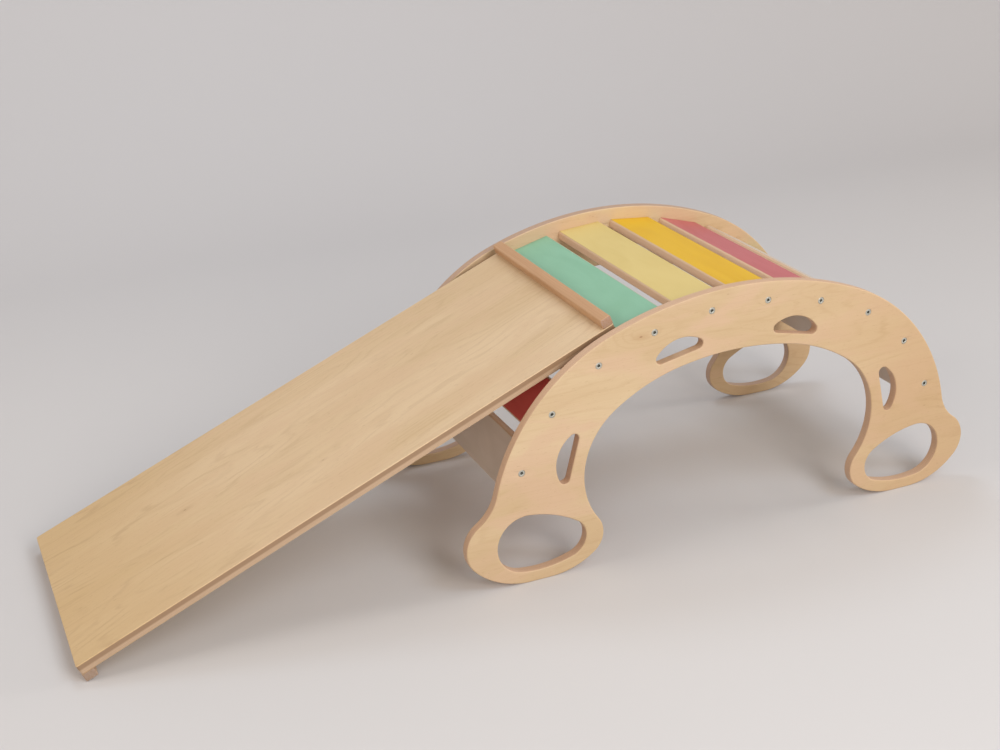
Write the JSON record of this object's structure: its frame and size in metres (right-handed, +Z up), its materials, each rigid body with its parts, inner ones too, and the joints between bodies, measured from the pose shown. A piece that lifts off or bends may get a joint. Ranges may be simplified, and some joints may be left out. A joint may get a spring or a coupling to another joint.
{
  "type": "wooden rocker arch",
  "caption": "Plywood climbing arch with painted slats between curved side panels on rounded feet, with hand holes and a lift-off slide board hooked between the slats.",
  "frame": {"origin": "on the floor, in plan under the middle of the box round the arch and the slide board", "axes": "+X along the arch, away from the slide board; +Y from the front panel to the rear panel; +Z up"},
  "size_m": [1.6218, 0.5, 0.4609],
  "materials": {
    "panel_birch": "clear matt lacquer on birch plywood",
    "board_birch": "clear matt lacquer on birch plywood",
    "batten_beech": "clear matt lacquer on solid wood",
    "dowel_beech": "bare",
    "zinc_steel": "bright zinc",
    "paint_grey": "satin paint on the faces, bare ply edges",
    "paint_red": "satin paint on the faces, bare ply edges",
    "paint_brick": "satin paint on the faces, bare ply edges",
    "paint_mint": "satin paint on the faces, bare ply edges",
    "paint_pale_yellow": "satin paint on the faces, bare ply edges",
    "paint_yellow": "satin paint on the faces, bare ply edges",
    "paint_coral": "satin paint on the faces, bare ply edges"
  },
  "bodies": {
    "arch": {"side_panel_front": "panel_birch", "side_panel_rear": "panel_birch", "slat_1_grey": "paint_grey", "slat_2_red": "paint_red", "slat_3_brick": "paint_brick", "slat_4_mint": "paint_mint", "slat_5_pale_yellow": "paint_pale_yellow", "slat_6_yellow": "paint_yellow", "slat_7_coral": "paint_coral", "slat_8_grey": "paint_grey", "slat_9_mint": "paint_mint", "slat_10_grey": "paint_grey", "slat_screws_front": "zinc_steel", "slat_screws_rear": "zinc_steel", "dowels_front": "dowel_beech", "dowels_rear": "dowel_beech"},
    "board": {"board_deck": "board_birch", "board_top_cleat": "batten_beech", "board_hook_batten": "batten_beech", "board_foot_batten": "batten_beech", "board_hook_screws": "zinc_steel", "board_foot_screws": "zinc_steel"}
  },
  "joints": [
    {"name": "board_lift", "type": "slide", "parent": "arch", "child": "board", "axis": [-0.3963, 0, 0.9181], "range_m": [0, 0.25]}
  ]
}
